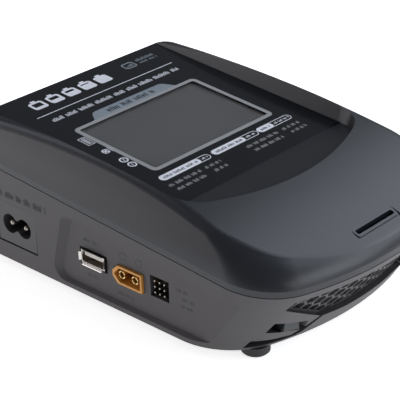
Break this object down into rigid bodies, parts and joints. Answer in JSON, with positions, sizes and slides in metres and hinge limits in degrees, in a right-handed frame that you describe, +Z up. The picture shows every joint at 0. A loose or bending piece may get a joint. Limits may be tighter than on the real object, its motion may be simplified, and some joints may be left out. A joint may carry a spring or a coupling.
{
  "type": "balance battery charger",
  "caption": "Compact mains battery charger with a domed cover, tilted touch display, side sockets for supply, data and balance leads, a front air grille and a small fan.",
  "frame": {"origin": "on the ground, under the middle of the case", "axes": "+Z up, +Y to the rear (mains inlet end), +X to the right; the pierced front faces -Y"},
  "size_m": [0.127, 0.1781, 0.0644],
  "materials": {
    "case_plastic": "fine matte texture, warm dark grey",
    "cover_plastic": "smooth satin, near-black grey",
    "label_film": "printed film, black",
    "screen_glass": "clear, low gloss",
    "lcd_cell": "dark grey, switched off",
    "white_plastic": "moulded, off-white",
    "ivory_plastic": "moulded, warm off-white",
    "circuit_board": "solder mask, green",
    "screw_steel": "zinc plated",
    "ribbon_film": "amber polyimide",
    "insulation_film": "translucent film",
    "capacitor_sleeve": "shrink sleeve, dark blue",
    "fuse_glass": "glass tube",
    "copper_wire": "enamelled copper",
    "black_plastic": "moulded, black",
    "ferrite": "sintered, dark grey",
    "winding_tape": "yellow tape",
    "sink_aluminium": "extruded",
    "fan_plastic": "moulded, black",
    "inlet_plastic": "moulded, dark grey",
    "pin_metal": "tinned",
    "usb_metal": "plated sheet steel",
    "amber_plastic": "moulded nylon, amber",
    "gold_contact": "gold plated",
    "red_plastic": "moulded, red",
    "foot_rubber": "soft, matte",
    "print_ink": "screen-printed, pale grey",
    "print_tint": "screen-printed, mid grey"
  },
  "bodies": {
    "case": {"bottom_case": "case_plastic", "top_cover": "cover_plastic", "label_overlay": "label_film", "touch_panel": "screen_glass", "lcd_glass": "lcd_cell", "lcd_backlight": "white_plastic", "display_board": "circuit_board", "display_screws": "screw_steel", "display_ribbon": "ribbon_film", "main_board": "circuit_board", "power_board": "circuit_board", "balance_board": "circuit_board", "board_screws": "screw_steel", "insulation_sheet": "insulation_film", "bulk_capacitors": "capacitor_sleeve", "mains_fuse": "fuse_glass", "emi_choke": "copper_wire", "bridge_rectifier": "black_plastic", "transformer_core": "ferrite", "transformer_winding": "winding_tape", "heat_sink": "sink_aluminium", "power_transistors": "black_plastic", "inductors": "copper_wire", "output_capacitors": "capacitor_sleeve", "buzzer": "black_plastic", "controller_chip": "black_plastic", "fan_frame": "fan_plastic", "ac_inlet_body": "inlet_plastic", "ac_inlet_pins": "pin_metal", "usb_shell": "usb_metal", "usb_tongue": "ivory_plastic", "dc_plug_housing": "amber_plastic", "dc_plug_pins": "gold_contact", "header_housing": "black_plastic", "header_pins": "pin_metal", "output_shell_red": "red_plastic", "output_shell_black": "black_plastic", "output_sleeves": "gold_contact", "balance_socket_7pin": "white_plastic", "balance_socket_6pin": "white_plastic", "balance_socket_5pin": "white_plastic", "balance_socket_4pin": "white_plastic", "balance_socket_3pin": "white_plastic", "balance_pins": "pin_metal", "rubber_feet": "foot_rubber", "case_screws": "screw_steel"},
    "fan": {"fan_rotor": "fan_plastic"}
  },
  "joints": [
    {"name": "fan_spin", "type": "hinge", "parent": "case", "child": "fan", "pos_m": [0, -0.055, 0.027], "axis": [0, 1, 0], "continuous": true}
  ]
}
